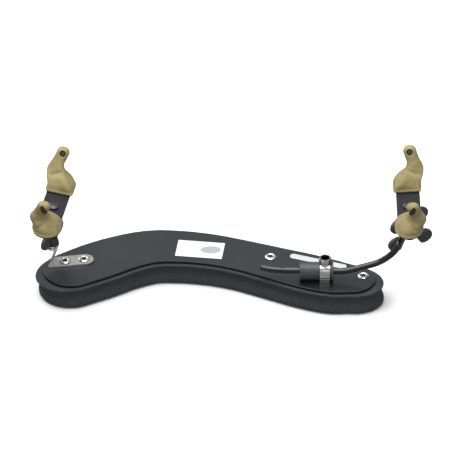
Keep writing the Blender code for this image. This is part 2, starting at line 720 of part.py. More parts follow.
def make_rod(kit):
    curve = bpy.data.curves.new("rod_route", "CURVE")
    curve.dimensions = "3D"
    curve.bevel_depth = ROD_RADIUS * MM
    curve.bevel_resolution = 2
    curve.use_fill_caps = True
    spline = curve.splines.new("POLY")
    route = catmull_rom(ROD_ROUTE, 2)
    spline.points.add(len(route) - 1)
    for point, position in zip(spline.points, route):
        point.co = (*(position * MM), 1.0)
    guide = bpy.data.objects.new("rod_guide", curve)
    kit["cutters"].objects.link(guide)
    evaluated = guide.evaluated_get(bpy.context.evaluated_depsgraph_get())
    mesh = bpy.data.meshes.new_from_object(evaluated)
    bpy.data.objects.remove(guide, do_unlink=True)
    bm = bmesh.new()
    bm.from_mesh(mesh)
    bmesh.ops.remove_doubles(bm, verts=bm.verts, dist=0.000005)
    bmesh.ops.scale(bm, vec=(1 / MM, 1 / MM, 1 / MM), verts=bm.verts)
    rod = add_mesh_object("support_rod", bm, Matrix.Identity(4), kit["materials"]["black_steel"],
                          kit["parts"])
    eye_frame = right_stud_frame()
    half = EYE_THICKNESS / 2
    eye = cylinder_cutter("rod_eye", EYE_RADIUS, -half, half, eye_frame, kit["cutters"])
    boolean(rod, eye, "UNION")
    arm_end = Vector(ROD_ROUTE[-1])
    eye_centre = Vector(RIGHT_STUD_POINT)
    arm_turn = math.atan2(eye_centre.y - arm_end.y, eye_centre.x - arm_end.x)
    arm_length = (eye_centre - arm_end).length
    web_frame = eye_frame @ Matrix.Rotation(arm_turn, 4, "Z")
    web = box_cutter("eye_web",
                     (-arm_length - EYE_WEB_OVERLAP, -EYE_WEB_HALF_WIDTH, -half + EYE_WEB_INSET),
                     (0.0, EYE_WEB_HALF_WIDTH, half - EYE_WEB_INSET), web_frame, kit["cutters"])
    boolean(rod, web, "UNION")
    hole = cylinder_cutter("eye_hole", LUG_HOLE_RADIUS, -6.0, 6.0, eye_frame, kit["cutters"],
                           SMALL_ROUND_STEPS)
    boolean(rod, hole, "DIFFERENCE")
    return smooth(rod)


# ---------------------------------------------------------------- studs and nuts

def left_stud_frame():
    """Frame in the middle of the lug, with Z along the stud and X across the fork."""
    return place(LEFT_STUD_POINT, LEFT_FORK_TURN, LEFT_STUD_LEAN)


def right_stud_frame():
    """Frame in the middle of the rod's eye, with Z along the stud."""
    return place(RIGHT_STUD_POINT, RIGHT_FORK_TURN, RIGHT_STUD_LEAN)


def make_stud(name, level, drop, frame, kit):
    """Threaded stud that holds a fork strip whose middle is at a level along the stud."""
    strip_top = level + FORK_THICKNESS / 2
    strip_bottom = level - FORK_THICKNESS / 2
    collar_top = strip_bottom - FORK_PLAY
    collar_bottom = collar_top - STUD_COLLAR_HEIGHT
    head_low = strip_top + FORK_PLAY
    head_high = head_low + STUD_HEAD_HEIGHT
    rim = head_low + STUD_HEAD_RIM
    dome_steps = 5
    dome_angles = [math.pi / 2 * step / dome_steps for step in range(dome_steps + 1)]
    dome = [(STUD_HEAD_RADIUS * math.sin(angle), rim + (head_high - rim) * math.cos(angle))
            for angle in dome_angles]
    profile = [
        *dome, (STUD_HEAD_RADIUS, head_low), (STUD_NECK_RADIUS, head_low),
        (STUD_NECK_RADIUS, collar_top), (STUD_COLLAR_RADIUS, collar_top),
        (STUD_COLLAR_RADIUS, collar_bottom), (STUD_RADIUS, collar_bottom),
        (STUD_RADIUS, -drop + 0.7), (STUD_RADIUS - 0.7, -drop), (0.0, -drop),
    ]
    return turned(name, profile, frame, kit["materials"]["black_steel"], kit["parts"], False,
                  SMALL_ROUND_STEPS)


def make_washer(kit):
    low = BRACKET_THICKNESS / 2 + GAP
    high = low + WASHER_THICKNESS
    profile = [(WASHER_RADIUS, high), (WASHER_RADIUS, low), (LUG_HOLE_RADIUS, low),
               (LUG_HOLE_RADIUS, high)]
    return turned("left_washer", profile, left_stud_frame(), kit["materials"]["nickel"],
                  kit["parts"], True)


def wing_outline():
    """Both wings seen flat on, as (across, along the stud) from the hub's seat upwards."""
    outline = []
    steps = 9
    for side in (1, -1):
        arc = []
        for step in range(steps + 1):
            angle = math.radians(WING_LOBE_SWEEP * (step / steps - 0.5))
            arc.append((side * (WING_LOBE_REACH + WING_LOBE_RADIUS * math.cos(angle)),
                        WING_LOBE_HEIGHT + WING_LOBE_HALF_HEIGHT * math.sin(angle)))
        wing = [(side * WING_ROOT_REACH, WING_ROOT_LOW), *arc,
                (side * WING_ROOT_REACH, WING_HUB_HEIGHT - WING_ROOT_DROP)]
        outline += wing if side > 0 else wing[::-1]
    return outline


def make_wing_nut(name, frame, kit):
    """Moulded nut: tapered hub with two round wings, seated at the frame's origin."""
    profile = [
        (0.0, WING_HUB_HEIGHT), (WING_HUB_RADIUS - WING_HUB_TAPER, WING_HUB_HEIGHT),
        (WING_HUB_RADIUS, WING_HUB_FOOT_HEIGHT), (WING_HUB_RADIUS - WING_HUB_FOOT_INSET, 0.0),
        (0.0, 0.0),
    ]
    nut = turned(name, profile, frame, kit["materials"]["black_plastic"], kit["parts"], False)
    half = WING_THICKNESS / 2
    upright = Matrix.Rotation(math.pi / 2, 4, "X")
    wings = prism(name + "_wings", wing_outline(), -half, half, frame @ upright, None,
                  kit["cutters"])
    bevel(wings, WING_EDGE_ROUND, 1)
    boolean(nut, as_cutter(wings), "UNION")
    bore = cylinder_cutter(name + "_bore", LUG_HOLE_RADIUS, -1.0, WING_HUB_HEIGHT + 8.0, frame,
                           kit["cutters"], SMALL_ROUND_STEPS)
    boolean(nut, bore, "DIFFERENCE")
    return nut


# ---------------------------------------------------------------- forks and boots

def make_fork(side_name, outward, frame, kit):
    """Flat strip on the stud with a prong up inside each boot."""
    half = FORK_THICKNESS / 2
    outline = stadium_points(FORK_HALF_LENGTH, FORK_WIDTH / 2)
    fork = prism(side_name + "_fork", outline, -half, half, frame,
                 kit["materials"]["black_steel"], kit["parts"])
    for end_name, end in (("front", -1), ("rear", 1)):
        low, high = prong_box(outward, end, 0.0)
        prong = box_cutter(f"{side_name}_{end_name}_prong", (low[0], low[1], 0.0),
                           (high[0], high[1], half + GAP + PRONG_HEIGHT), frame,
                           kit["cutters"])
        boolean(fork, prong, "UNION")
    hole = cylinder_cutter(side_name + "_fork_hole", STUD_NECK_RADIUS + GAP, -3.0, 3.0, frame,
                           kit["cutters"], SMALL_ROUND_STEPS)
    boolean(fork, hole, "DIFFERENCE")
    return fork


def prong_box(outward, end, margin):
    """Lowest and highest x and y of a prong in the fork's frame, grown by a margin."""
    x = outward * PRONG_OUTWARD
    y = end * (BOOT_INNER_FACE + PRONG_ALONG)
    half_x = PRONG_WIDTH / 2 + margin
    half_y = PRONG_THICKNESS / 2 + margin
    return (x - half_x, y - half_y), (x + half_x, y + half_y)


def boot_ring(section, outward, end):
    """One section of a boot: round on its far side, squarer on the side facing the stud."""
    height, across, half_width, along, inner_depth, outer_depth, slant, squareness = section
    power = 2.0 / (2.0 + 3.0 * squareness)
    ring = []
    for index in range(BOOT_RING_POINTS):
        angle = math.tau * index / BOOT_RING_POINTS
        cosine, sine = math.cos(angle), math.sin(angle)
        if sine < 0.0:
            x = half_width * math.copysign(abs(cosine) ** power, cosine)
            y = -inner_depth * abs(sine) ** power
        else:
            x = half_width * cosine
            y = outer_depth * sine
        ring.append((outward * (across + x), end * (along + y + slant * x), height))
    return ring


def make_boot(side_name, end_name, outward, end, frame, kit):
    seat = FORK_THICKNESS / 2 + GAP
    boot_frame = shifted(frame, (0.0, end * BOOT_INNER_FACE, seat))
    rings = [boot_ring(section, outward, end) for section in BOOT_SECTIONS]
    name = f"{side_name}_{end_name}_boot"
    boot = loft(name, rings, boot_frame, kit["materials"]["tan_rubber"], kit["parts"])
    low, high = prong_box(outward, end, GAP)
    room = box_cutter(name + "_room", (low[0], low[1], -1.0),
                      (high[0], high[1], seat + PRONG_HEIGHT + GAP), frame, kit["cutters"])
    boolean(boot, room, "DIFFERENCE")
    return boot


def make_fork_side(side_name, outward, stud_frame, level, fork_set, drop, kit):
    """One fork with its stud and boots, hung from an empty on the stud's axis."""
    axis = new_empty(side_name + "_stud_axis", stud_frame, kit["parts"])
    frame = shifted(stud_frame, (0.0, 0.0, level)) @ fork_set
    pieces = [
        make_stud(side_name + "_stud", level, drop, stud_frame, kit),
        make_fork(side_name, outward, frame, kit),
        make_boot(side_name, "front", outward, -1, frame, kit),
        make_boot(side_name, "rear", outward, 1, frame, kit),
    ]
    return axis, pieces


def attach(pieces, empty):
    """Parents the pieces to an empty without moving them."""
    bpy.context.view_layer.update()
    for piece in pieces:
        placed = piece.matrix_world.copy()
        piece.parent = empty
        piece.matrix_parent_inverse = empty.matrix_world.inverted()
        piece.matrix_world = placed


# ---------------------------------------------------------------- assembly

def build():
    clear_scene()
    kit = {
        "parts": new_collection(COLLECTION_NAME),
        "cutters": new_collection(CUTTER_COLLECTION_NAME),
        "materials": make_materials(),
    }
    make_plate(kit)
    make_foam(kit)
    make_labels(kit)
    make_eyelets(kit)
    make_anchor(kit)
    make_bracket(kit)
    make_band(kit)
    screw = make_screw(kit)
    sleeve = make_sleeve(kit)
    rod = make_rod(kit)

    left_level = PLATE_TOP + LEFT_FORK_HEIGHT - LEFT_STUD_POINT[2]
    left_set = Matrix.Rotation(LEFT_FORK_LEAN, 4, "Y") @ Matrix.Rotation(LEFT_FORK_TILT, 4, "X")
    left_axis, left_pieces = make_fork_side("left", -1, left_stud_frame(), left_level, left_set,
                                            LEFT_STUD_DROP, kit)
    right_level = PLATE_TOP + RIGHT_FORK_HEIGHT - RIGHT_STUD_POINT[2]
    right_axis, right_pieces = make_fork_side("right", 1, right_stud_frame(), right_level,
                                              Matrix.Identity(4), RIGHT_STUD_DROP, kit)

    make_washer(kit)
    left_seat = BRACKET_THICKNESS / 2 + GAP + WASHER_THICKNESS + GAP
    left_nut = make_wing_nut(
        "left_wing_nut",
        shifted(left_stud_frame(), (0.0, 0.0, left_seat))
        @ Matrix.Rotation(LEFT_NUT_TURN, 4, "Z"), kit)
    eye_seat = EYE_THICKNESS / 2 + GAP
    upper_nut = make_wing_nut(
        "right_upper_wing_nut",
        shifted(right_stud_frame(), (0.0, 0.0, eye_seat))
        @ Matrix.Rotation(RIGHT_UPPER_NUT_TURN, 4, "Z"), kit)
    lower_nut = make_wing_nut(
        "right_lower_wing_nut",
        shifted(right_stud_frame(), (0.0, 0.0, -eye_seat))
        @ Matrix.Rotation(RIGHT_LOWER_NUT_TURN, 4, "Z") @ Matrix.Rotation(math.pi, 4, "X"), kit)

    rod_axis = new_empty("rod_axis", rod_frame(), kit["parts"])
    screw_axis = new_empty("screw_axis", screw_frame(), kit["parts"])
    attach([screw], screw_axis)
    attach([sleeve, rod], rod_axis)
    attach([*left_pieces, left_nut], left_axis)
    attach([*right_pieces, upper_nut, lower_nut], right_axis)
    attach([right_axis], rod_axis)


build()
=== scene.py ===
"""Looks for the violin shoulder rest: its foam pad, its four rubber boots, and every finish.

Lengths are in millimetres until MM turns them into metres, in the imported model's own frame:
X runs from the fixed fork to the sliding fork, Y to the far side of the plate's bow, Z up.
"""

import math

import bmesh
import bpy
from mathutils import Matrix, Vector, noise


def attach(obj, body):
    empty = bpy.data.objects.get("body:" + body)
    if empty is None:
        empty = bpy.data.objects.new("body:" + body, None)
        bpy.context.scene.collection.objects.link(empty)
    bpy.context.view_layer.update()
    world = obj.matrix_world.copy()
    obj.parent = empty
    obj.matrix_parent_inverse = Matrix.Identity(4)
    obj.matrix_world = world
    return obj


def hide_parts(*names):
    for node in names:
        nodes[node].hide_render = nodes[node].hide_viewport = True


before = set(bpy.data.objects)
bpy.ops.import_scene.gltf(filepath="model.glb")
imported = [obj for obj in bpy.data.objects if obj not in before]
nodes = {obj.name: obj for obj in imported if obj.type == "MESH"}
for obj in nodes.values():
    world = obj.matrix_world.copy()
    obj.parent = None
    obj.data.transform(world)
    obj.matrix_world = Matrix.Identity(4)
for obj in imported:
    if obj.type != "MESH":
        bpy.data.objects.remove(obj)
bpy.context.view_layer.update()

MM = 0.001

# Plate centreline: x, y and half width, from the fixed end to the sliding end
PLATE_TOP = 18.0
PLATE_SPINE = [
    (-95.5, -24.5, 20.0), (-77.4, -13.5, 21.0), (-60.0, -3.8, 20.2), (-41.0, 3.1, 19.3),
    (-21.6, 3.3, 18.6), (-0.2, -0.1, 17.8), (21.9, -7.0, 17.3), (45.0, -16.6, 18.4),
    (67.0, -26.0, 19.6), (85.0, -33.0, 18.8), (98.0, -35.5, 16.0),
]
SPINE_STEPS = 12

# Foam pad: height, how far the side stands out from its widest line, and how much further in
# the fixed end is
FOAM_TOP = 15.7
FOAM_SIDE_OVERHANG = 2.0
FOAM_END_OVERHANG = 4.0
FOAM_SIDE = [(0.0, -1.6, -3.4), (0.5, -0.7, -3.2), (1.8, 0.1, -3.0), (4.5, -0.1, -2.8),
             (9.0, -1.6, -2.0), (12.8, -0.9, -0.6), (14.6, -0.2, 0.0), (15.3, -0.4, 0.0),
             (FOAM_TOP, -1.0, 0.0)]
FOAM_SIDE_STEPS = 3
FOAM_CAP_INSETS = (3.0, 6.0, 10.0)
FOAM_RIPPLE = 0.14
FOAM_RIPPLE_SIZE = 7.0
FOAM_RIPPLE_DETAIL = 3.1
FOAM_RIPPLE_OFFSET = 0.6
# The flat bottom and top stay flat within these distances
FOAM_STILL_BOTTOM = 0.3
FOAM_STILL_TOP = 0.2

# Where each stud crosses the lug or eye that holds it, and how its fork is set
LEFT_STUD_POINT = (-109.2, -16.0, 32.4)
LEFT_STUD_LEAN = math.radians(3.5)
LEFT_FORK_TURN = math.radians(-9.5)
LEFT_FORK_LEAN = math.radians(4.5)
LEFT_FORK_TILT = math.radians(-1.7)
LEFT_FORK_LEVEL = 31.3
RIGHT_STUD_POINT = (137.6, -17.6, 46.0)
RIGHT_STUD_LEAN = math.radians(-3.5)
RIGHT_FORK_LEVEL = 19.0

# Rubber boots, from base to tip. Height; centre and half width away from the violin; centre,
# depth towards the stud and depth away from it; slant; how square the inner side is
BOOT_INNER_FACE = 16.4
BOOT_SEAT = 1.05
BOOT_SECTIONS = [
    (0.0, -0.3, 9.6, 11.0, 11.1, 12.3, 0.0, 3.0),
    (0.5, -0.3, 9.8, 11.0, 11.3, 12.5, 0.0, 3.0),
    (1.2, -0.3, 9.8, 11.0, 11.3, 12.5, 0.0, 3.0),
    (1.9, -0.3, 9.3, 11.0, 10.7, 11.9, 0.0, 2.6),
    (4.8, 0.7, 8.8, 11.0, 9.8, 11.4, 0.1, 1.4),
    (7.8, 2.8, 8.3, 11.2, 8.0, 9.9, 0.2, 0.6),
    (10.2, 4.4, 7.4, 12.0, 6.6, 8.0, 0.3, 0.2),
    (12.9, 5.1, 5.9, 13.4, 5.4, 6.2, 0.35, 0.1),
    (15.8, 5.0, 4.6, 14.6, 4.7, 5.0, 0.25, 0.0),
    (18.8, 3.9, 4.5, 16.4, 4.4, 4.5, 0.1, 0.0),
    (22.4, 2.8, 4.6, 18.0, 4.2, 4.2, 0.0, 0.0),
    (24.3, 2.8, 4.0, 18.4, 3.6, 3.6, 0.0, 0.0),
    (25.5, 2.8, 2.8, 18.6, 2.4, 2.4, 0.0, 0.0),
    (25.9, 2.8, 1.4, 18.6, 1.2, 1.2, 0.0, 0.0),
]
BOOT_RING_POINTS = 56
BOOT_SECTION_STEPS = 5
BOOT_VOXEL = 0.36
# Folds in the rubber, on the side facing the stud (-1) and the side away from it (1): the two
# ends as (across, height) and the depth
BOOT_FOLDS = [
    (-1, (-2.5, 13.6), (8.6, 9.4), 1.5),
    (1, (-1.6, 10.5), (4.5, 5.5), 0.9),
]
FOLD_HALF_WIDTH = 1.1
# Holes in each tip: centre as (across, from the inner face, height), direction into the rubber
# and direction up the hole as (from the inner face, height), half width, half height, lean
TIP_HOLES = [
    ((2.6, 14.5, 23.4), (0.82, -0.57), (0.57, 0.82), 2.25, 2.2, 0.0),
    ((2.4, 21.5, 20.3), (-1.0, 0.0), (0.34, 0.94), 1.95, 4.5, 0.26),
]
TIP_HOLE_DEPTH = 2.6
TIP_HOLE_REACH = 4.0
TIP_HOLE_POINTS = 28
# Depth along each hole and growth there, as a share of its size
TIP_HOLE_PROFILE = ((-TIP_HOLE_REACH, 1.3), (0.0, 1.06), (1.0, 1.0), (TIP_HOLE_DEPTH, 0.85))
# A dark brown plug of painted shade sits this deep inside each hole, and widens to fill the hole
TIP_HOLE_SHADE_DEPTH = 1.0
TIP_HOLE_SHADE_PROFILE = ((TIP_HOLE_SHADE_DEPTH, 0.4), (TIP_HOLE_SHADE_DEPTH + 0.25, 0.8),
                    (TIP_HOLE_SHADE_DEPTH + 0.7, 1.0), (TIP_HOLE_DEPTH, 1.0))

# The clamp screw's hex socket, where painted shade darkens the chrome: centre and reach
SCREW_SOCKET = ((79.2, -36.7, 34.0), (3.4, 3.4, 2.12))
# The plain patch on the larger sticker: centre and reach
STICKER_PATCH = ((0.5, -2.0, PLATE_TOP + 0.2), (8.6, 5.2, 5.0))

# Camera: it looks along +Y and down, from far enough to look nearly flat
AIM_POINT = (13.9, 5.2, 30.0)
CAMERA_DISTANCE = 3300.0
CAMERA_ELEVATION = math.radians(35.0)
VIEW_WIDTH = 319.4
SENSOR_WIDTH = 36.0
CLIP_END = 20.0

# Studio. Softboxes: name, place and size in metres, power in watts
WORLD_STRENGTH = 0.38
SOFTBOXES = [
    ("overhead", (-0.15, 0.0, 1.4), 1.5, 30.0),
    ("front_fill", (0.5, -1.4, 0.9), 0.9, 3.0),
    ("back_left", (-0.78, 1.05, 0.72), 0.8, 4.6),
]
FLOOR_REACH = 3000.0
FLOOR_DROP = 0.3

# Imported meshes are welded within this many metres, and edges sharper than this stay sharp
WELD_DISTANCE = 0.000002
SHARP_ANGLE = math.radians(32.0)
SMOOTHING_FACTOR = 0.5
BOOT_SMOOTHING_PASSES = 3


# ---------------------------------------------------------------- meshes

def place(point, turn=0.0, lean=0.0):
    """Frame at a point in millimetres, turned about Z and then leaned about its own Y."""
    return (Matrix.Translation(Vector(point) * MM) @ Matrix.Rotation(turn, 4, "Z")
            @ Matrix.Rotation(lean, 4, "Y"))


def add_piece(name, bm, placement, material):
    """Turns a bmesh in millimetres into a smooth-shaded object in the model's frame."""
    bmesh.ops.transform(bm, matrix=Matrix.Scale(MM, 4), verts=bm.verts)
    bmesh.ops.transform(bm, matrix=placement, verts=bm.verts)
    bmesh.ops.recalc_face_normals(bm, faces=bm.faces)
    mesh = bpy.data.meshes.new(name)
    bm.to_mesh(mesh)
    bm.free()
    mesh.shade_smooth()
    if material is not None:
        mesh.materials.append(material)
    piece = bpy.data.objects.new(name, mesh)
    bpy.context.scene.collection.objects.link(piece)
    return piece


def loft(rings):
    """Closed bmesh through rings of points that all have the same count."""
    bm = bmesh.new()
    ring_verts = [[bm.verts.new(point) for point in ring] for ring in rings]
    count = len(rings[0])
    for lower, upper in zip(ring_verts, ring_verts[1:]):
        for index in range(count):
            following = (index + 1) % count
            bm.faces.new((lower[index], lower[following], upper[following], upper[index]))
    bm.faces.new(ring_verts[0])
    bm.faces.new(ring_verts[-1])
    return bm


def catmull_rom(rows, steps):
    """Rows of numbers along a smooth curve through the given rows."""
    padded = [rows[0], *rows, rows[-1]]
    result = []
    for before, start, end, after in zip(padded, padded[1:], padded[2:], padded[3:]):
        for step in range(steps):
            t = step / steps
            result.append(tuple(
                0.5 * (2 * b + (c - a) * t + (2 * a - 5 * b + 4 * c - d) * t ** 2
                       + (3 * b - a - 3 * c + d) * t ** 3)
                for a, b, c, d in zip(before, start, end, after)))
    result.append(tuple(rows[-1]))
    return result


def apply_modifiers(piece):
    """Replaces a piece's mesh with what its modifiers make of it."""
    evaluated = piece.evaluated_get(bpy.context.evaluated_depsgraph_get())
    mesh = bpy.data.meshes.new_from_object(evaluated)
    piece.modifiers.clear()
    piece.data = mesh
    mesh.shade_smooth()


def smooth_by_angle_group(limit):
    """Geometry nodes that weld a mesh and shade it smooth up to an angle between faces."""
    group = bpy.data.node_groups.new("weld_and_smooth", "GeometryNodeTree")
    for in_out in ("INPUT", "OUTPUT"):
        group.interface.new_socket("Geometry", in_out=in_out, socket_type="NodeSocketGeometry")
    add = group.nodes.new
    weld = add("GeometryNodeMergeByDistance")
    weld.inputs["Distance"].default_value = WELD_DISTANCE
    plain = add("GeometryNodeRemoveAttribute")
    plain.inputs["Name"].default_value = "custom_normal"
    faces = add("GeometryNodeSetShadeSmooth")
    faces.domain = "FACE"
    edges = add("GeometryNodeSetShadeSmooth")
    edges.domain = "EDGE"
    edges.inputs["Shade Smooth"].default_value = False
    angle = add("GeometryNodeInputMeshEdgeAngle")
    sharper = add("FunctionNodeCompare")
    sharper.data_type = "FLOAT"
    sharper.operation = "GREATER_THAN"
    sharper.inputs["B"].default_value = limit
    chain = [add("NodeGroupInput"), weld, plain, faces, edges, add("NodeGroupOutput")]
    for source, target in zip(chain, chain[1:]):
        group.links.new(source.outputs[0], target.inputs[0])
    group.links.new(angle.outputs["Unsigned Angle"], sharper.inputs["A"])
    group.links.new(sharper.outputs["Result"], edges.inputs["Selection"])
    return group


# ---------------------------------------------------------------- materials

class Finish:
    """A material built from nodes in object space."""

    def __init__(self, name, roughness, metallic=0.0, **sockets):
        self.material = bpy.data.materials.new(name)
        self.material.use_nodes = True
        self.tree = self.material.node_tree
        self.shader = self.tree.nodes["Principled BSDF"]
        self.shader.inputs["Roughness"].default_value = roughness
        self.shader.inputs["Metallic"].default_value = metallic
        for socket, value in sockets.items():
            self.shader.inputs[socket.replace("_", " ")].default_value = value
        self.place = self.tree.nodes.new("ShaderNodeTexCoord").outputs["Object"]
        self.normal = None

    def node(self, kind, **inputs):
        """A new node with its inputs set to values or linked to other nodes' outputs."""
        made = self.tree.nodes.new(kind)
        for socket, value in inputs.items():
            target = made.inputs[socket.replace("_", " ")]
            if hasattr(value, "is_output"):
                self.tree.links.new(value, target)
            else:
                target.default_value = value
        return made

    def stretched(self, scale):
        """Object coordinates scaled by axis."""
        mapping = self.node("ShaderNodeMapping", Vector=self.place, Scale=scale)
        return mapping.outputs["Vector"]

    def noise(self, size, detail=3.0, at=None):
        """Cloudy value from 0 to 1 with patches of a size in millimetres."""
        made = self.node("ShaderNodeTexNoise", Vector=at or self.place, Scale=1 / (size * MM),
                         Detail=detail)
        return made.outputs["Fac"]

    def cells(self, size):
        """Distance inside round cells of a size in millimetres."""
        made = self.node("ShaderNodeTexVoronoi", Vector=self.place, Scale=1 / (size * MM))
        return made.outputs["Distance"]

    def ramp(self, value, stops):
        """Colour or grey from a value, through (position, colour) stops."""
        made = self.node("ShaderNodeValToRGB", Fac=value)
        ramp = made.color_ramp
        ramp.elements[0].position, ramp.elements[0].color = stops[0][0], (*stops[0][1], 1.0)
        ramp.elements[1].position, ramp.elements[1].color = stops[-1][0], (*stops[-1][1], 1.0)
        for position, colour in stops[1:-1]:
            ramp.elements.new(position).color = (*colour, 1.0)
        return made.outputs["Color"]

    def span(self, value, low, high):
        """A value from 0 to 1 turned into one from low to high."""
        made = self.node("ShaderNodeMapRange", Value=value, From_Min=0.25, From_Max=0.75,
                         To_Min=low, To_Max=high)
        return made.outputs["Result"]

    def mixed(self, factor, first, second):
        """Colour that goes from first to second as the factor goes from 0 to 1."""
        made = self.tree.nodes.new("ShaderNodeMix")
        made.data_type = "RGBA"
        self.tree.links.new(factor, made.inputs["Factor"])
        for socket, value in (("A", first), ("B", second)):
            target = next(s for s in made.inputs if s.name == socket and s.type == "RGBA")
            if hasattr(value, "is_output"):
                self.tree.links.new(value, target)
            else:
                target.default_value = (*value, 1.0)
        return next(s for s in made.outputs if s.type == "RGBA")

    def connect(self, value, socket):
        self.tree.links.new(value, self.shader.inputs[socket])

    def relief(self, height, depth, strength=1.0):
        """Adds a bump of a depth in millimetres to the surface."""
        bump = self.node("ShaderNodeBump", Height=height, Distance=depth * MM, Strength=strength)
        if self.normal is not None:
            self.tree.links.new(self.normal, bump.inputs["Normal"])
        self.normal = bump.outputs["Normal"]
        self.connect(self.normal, "Normal")

    def distance_from(self, centre, reach):
        """Distance from a point, in parts of an elliptical reach, all in millimetres."""
        offset = self.node("ShaderNodeVectorMath", Vector=self.place)
        offset.operation = "SUBTRACT"
        offset.inputs[1].default_value = [value * MM for value in centre]
        scaled = self.node("ShaderNodeVectorMath", Vector=offset.outputs["Vector"])
        scaled.operation = "DIVIDE"
        scaled.inputs[1].default_value = [value * MM for value in reach]
        length = self.node("ShaderNodeVectorMath", Vector=scaled.outputs["Vector"])
        length.operation = "LENGTH"
        return length.outputs["Value"]

    def upward(self):
        """How far the surface faces up, from -1 to 1."""
        coordinates = self.tree.nodes.new("ShaderNodeTexCoord")
        split = self.node("ShaderNodeSeparateXYZ", Vector=coordinates.outputs["Normal"])
        return split.outputs["Z"]


def paint_finish():
    finish = Finish("plate_paint", 0.34, Coat_Roughness=0.25, Specular_IOR_Level=0.3)
    cloud = finish.noise(26.0, 2.0)
    slate = finish.ramp(cloud, [(0.3, (0.007, 0.0115, 0.015)), (0.7, (0.011, 0.016, 0.0205))])
    # Painted shade: side faces go near black, while top faces keep the slate tone and get the
    # coat
    painted_side_shade = finish.ramp(finish.upward(), [(0.55, (0.0, 0.0, 0.0)), (0.85, (1.0, 1.0, 1.0))])
    finish.connect(finish.mixed(painted_side_shade, (0.004, 0.0045, 0.005), slate), "Base Color")
    finish.connect(painted_side_shade, "Coat Weight")
    finish.connect(finish.span(finish.noise(3.0), 0.3, 0.4), "Roughness")
    finish.relief(finish.noise(1.6, 2.0), 0.012)
    finish.relief(finish.noise(14.0, 1.0), 0.05)
    return finish.material


def foam_finish():
    finish = Finish("foam", 0.92, Specular_IOR_Level=0.25)
    cell = finish.cells(0.85)
    cloud = finish.noise(9.0)
    dark = finish.ramp(cloud, [(0.3, (0.019, 0.021, 0.023)), (0.7, (0.03, 0.033, 0.036))])
    # Painted shade in the pore hollows at the cell centres and painted light on the raised cell
    # rims
    painted_rim_light = finish.ramp(cell, [(0.0, (0.0, 0.0, 0.0)), (0.75, (1.0, 1.0, 1.0))])
    finish.connect(finish.mixed(painted_rim_light, dark, (0.06, 0.065, 0.07)), "Base Color")
    finish.relief(cell, 0.35, 0.9)
    finish.relief(finish.noise(0.55, 2.0), 0.12, 0.7)
    return finish.material


def nickel_finish():
    finish = Finish("nickel", 0.3, 1.0)
    cloud = finish.noise(7.0)
    tone = finish.ramp(cloud, [(0.3, (0.66, 0.65, 0.62)), (0.7, (0.8, 0.79, 0.75))])
    finish.connect(tone, "Base Color")
    finish.connect(finish.span(finish.noise(1.4), 0.22, 0.4), "Roughness")
    finish.relief(finish.noise(0.5, 2.0, finish.stretched((0.15, 1.0, 1.0))), 0.012)
    return finish.material


def chrome_finish(name, socket=None):
    """Bright plating, with painted shade inside a socket if its centre and reach are given."""
    finish = Finish(name, 0.12, 1.0)
    cloud = finish.noise(5.0)
    tone = finish.ramp(cloud, [(0.3, (0.5, 0.5, 0.5)), (0.7, (0.64, 0.64, 0.63))])
    if socket is not None:
        # Painted shade: the plating turns near black inside the socket
        inside = finish.ramp(finish.distance_from(*socket),
                             [(0.96, (1.0, 1.0, 1.0)), (1.02, (0.0, 0.0, 0.0))])
        tone = finish.mixed(inside, tone, (0.02, 0.018, 0.015))
    finish.connect(tone, "Base Color")
    finish.connect(finish.span(finish.noise(1.1), 0.08, 0.2), "Roughness")
    finish.relief(finish.noise(2.2), 0.02)
    return finish.material


def black_steel_finish(name, tone, roughness, coat):
    """Blackened steel. It returns the Finish, so that more relief can be added to it."""
    finish = Finish(name, roughness, 0.35, Coat_Weight=coat, Coat_Roughness=0.18)
    cloud = finish.noise(11.0)
    light = tuple(value * 1.35 for value in tone)
    finish.connect(finish.ramp(cloud, [(0.3, tone), (0.7, light)]), "Base Color")
    finish.connect(finish.span(finish.noise(1.8), roughness - 0.05, roughness + 0.08),
                   "Roughness")
    finish.relief(finish.noise(0.9, 2.0), 0.014)
    return finish


def thread_finish():
    """Black steel with a screw thread's fine ridges round the stud."""
    finish = black_steel_finish("threaded_steel", (0.035, 0.038, 0.044), 0.3, 0.2)
    ridges = finish.node("ShaderNodeTexWave", Vector=finish.place, Scale=290.0, Distortion=0.0)
    ridges.wave_type = "BANDS"
    ridges.bands_direction = "Z"
    finish.relief(ridges.outputs["Fac"], 0.3)
    return finish.material


def plastic_finish(name, tone, roughness):
    finish = Finish(name, roughness)
    cloud = finish.noise(6.0)
    light = tuple(value * 1.5 for value in tone)
    finish.connect(finish.ramp(cloud, [(0.3, tone), (0.7, light)]), "Base Color")
    finish.connect(finish.span(finish.noise(1.2), roughness - 0.06, roughness + 0.1),
                   "Roughness")
    finish.relief(finish.noise(0.6, 2.0), 0.03)
    return finish.material


def rubber_finish():
    finish = Finish("tan_rubber", 0.55, Specular_IOR_Level=0.35)
    cloud = finish.noise(6.5)
    tone = finish.ramp(cloud, [(0.25, (0.25, 0.205, 0.084)), (0.5, (0.3, 0.25, 0.108)),
                               (0.75, (0.36, 0.305, 0.145))])
    speck = finish.ramp(finish.noise(0.8, 4.0), [(0.3, (0.0, 0.0, 0.0)), (0.42, (1.0, 1.0, 1.0))])
    finish.connect(finish.mixed(speck, (0.25, 0.195, 0.09), tone), "Base Color")
    finish.connect(finish.span(finish.noise(2.2), 0.48, 0.68), "Roughness")
    finish.relief(finish.noise(0.7, 3.0), 0.035)
    finish.relief(finish.noise(4.0, 1.0), 0.12)
    return finish.material


